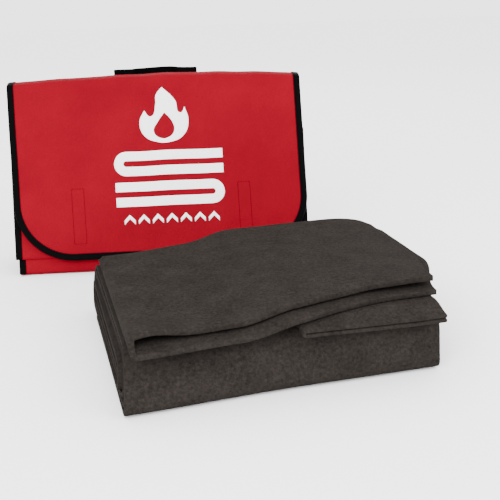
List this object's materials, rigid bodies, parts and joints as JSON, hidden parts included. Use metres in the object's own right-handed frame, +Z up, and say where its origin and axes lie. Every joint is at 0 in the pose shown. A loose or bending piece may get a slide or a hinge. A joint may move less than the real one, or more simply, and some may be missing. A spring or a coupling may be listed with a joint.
{
  "type": "fire blanket with carrying bag",
  "caption": "Wool fire blanket folded flat beside its red fabric bag with a lift-up flap, taped edges and a webbing handle.",
  "frame": {"origin": "middle of the bag's base, on the surface that the bag and the blanket rest on", "axes": "+Z up, +X across the bag's width to the right as seen from the front, and the bag's front faces -Y"},
  "size_m": [0.618, 0.6636, 0.333],
  "materials": {
    "red_cloth": "woven nylon, low sheen",
    "black_tape": "woven binding tape",
    "hook_and_loop": "hook-and-loop pile",
    "black_webbing": "ribbed webbing",
    "wool": "felted wool blend, mottled"
  },
  "bodies": {
    "bag": {"back_binding_left": "black_tape", "back_binding_right": "black_tape", "back_panel": "red_cloth", "base_back_binding_left": "black_tape", "base_back_binding_right": "black_tape", "base_front_binding_left": "black_tape", "base_front_binding_right": "black_tape", "base_gusset": "red_cloth", "front_binding_left": "black_tape", "front_binding_right": "black_tape", "front_loop_left": "hook_and_loop", "front_loop_right": "hook_and_loop", "front_panel": "red_cloth", "gusset_left": "red_cloth", "gusset_right": "red_cloth", "handle_end_left": "black_webbing", "handle_end_right": "black_webbing", "mouth_binding": "black_tape", "top_gusset": "red_cloth"},
    "flap": {"flap_panel": "red_cloth", "flap_binding": "black_tape", "flap_hook_left": "hook_and_loop", "flap_hook_right": "hook_and_loop"},
    "handle": {"handle_grip": "black_webbing"},
    "blanket": {"blanket_lower_roll": "wool", "blanket_short_leaf": "wool", "blanket_long_leaf": "wool"},
    "top_leaf": {"blanket_top_leaf": "wool"}
  },
  "joints": [
    {"name": "flap_lift", "type": "hinge", "parent": "bag", "child": "flap", "pos_m": [0, 0.03263, 0.32643], "axis": [-1, 0, 0], "range_deg": [0, 210]},
    {"name": "handle_pull", "type": "hinge", "parent": "bag", "child": "handle", "pos_m": [0, 0.0664, 0.308], "axis": [-1, 0, 0], "range_deg": [0, 80]},
    {"name": "blanket_lift", "type": "slide", "parent": "bag", "child": "blanket", "axis": [0, 0, 1], "range_m": [0, 0.25]},
    {"name": "blanket_unfold", "type": "hinge", "parent": "blanket", "child": "top_leaf", "pos_m": [-0.06428, -0.40808, 0.0915], "axis": [0.1822, -0.9833, 0], "range_deg": [0, 150]}
  ]
}
